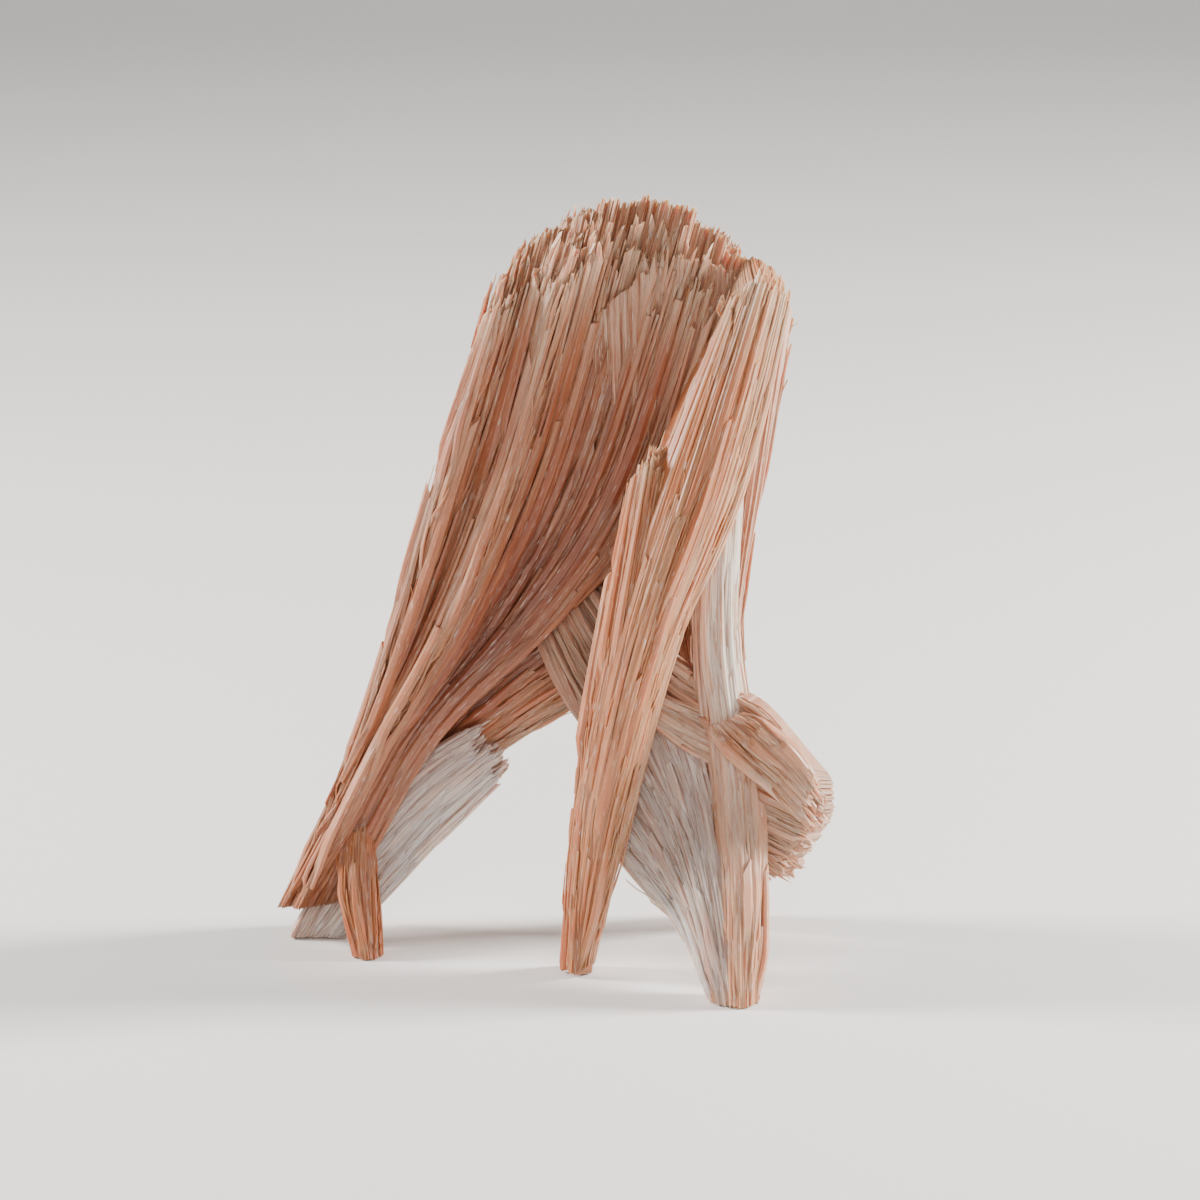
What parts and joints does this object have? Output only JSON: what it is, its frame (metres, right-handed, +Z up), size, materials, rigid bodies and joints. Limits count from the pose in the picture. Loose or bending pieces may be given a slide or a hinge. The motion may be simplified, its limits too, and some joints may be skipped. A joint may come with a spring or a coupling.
{
  "type": "inesite crystal cluster",
  "caption": "Thumbnail inesite specimen: flared fans of silky parallel laths grown through each other, ragged at the tips, standing free on broken feet.",
  "frame": {"origin": "on the floor under the middle of the cluster's bounding box", "axes": "+Z up from the broken feet to the tips, +X to the viewer's right in the picture, +Y away from the viewer"},
  "size_m": [0.0279, 0.0152, 0.0384],
  "materials": {
    "inesite": "silky, fibrous, slightly translucent"
  },
  "bodies": {
    "root": {"crystal_cluster": "inesite"}
  },
  "joints": []
}
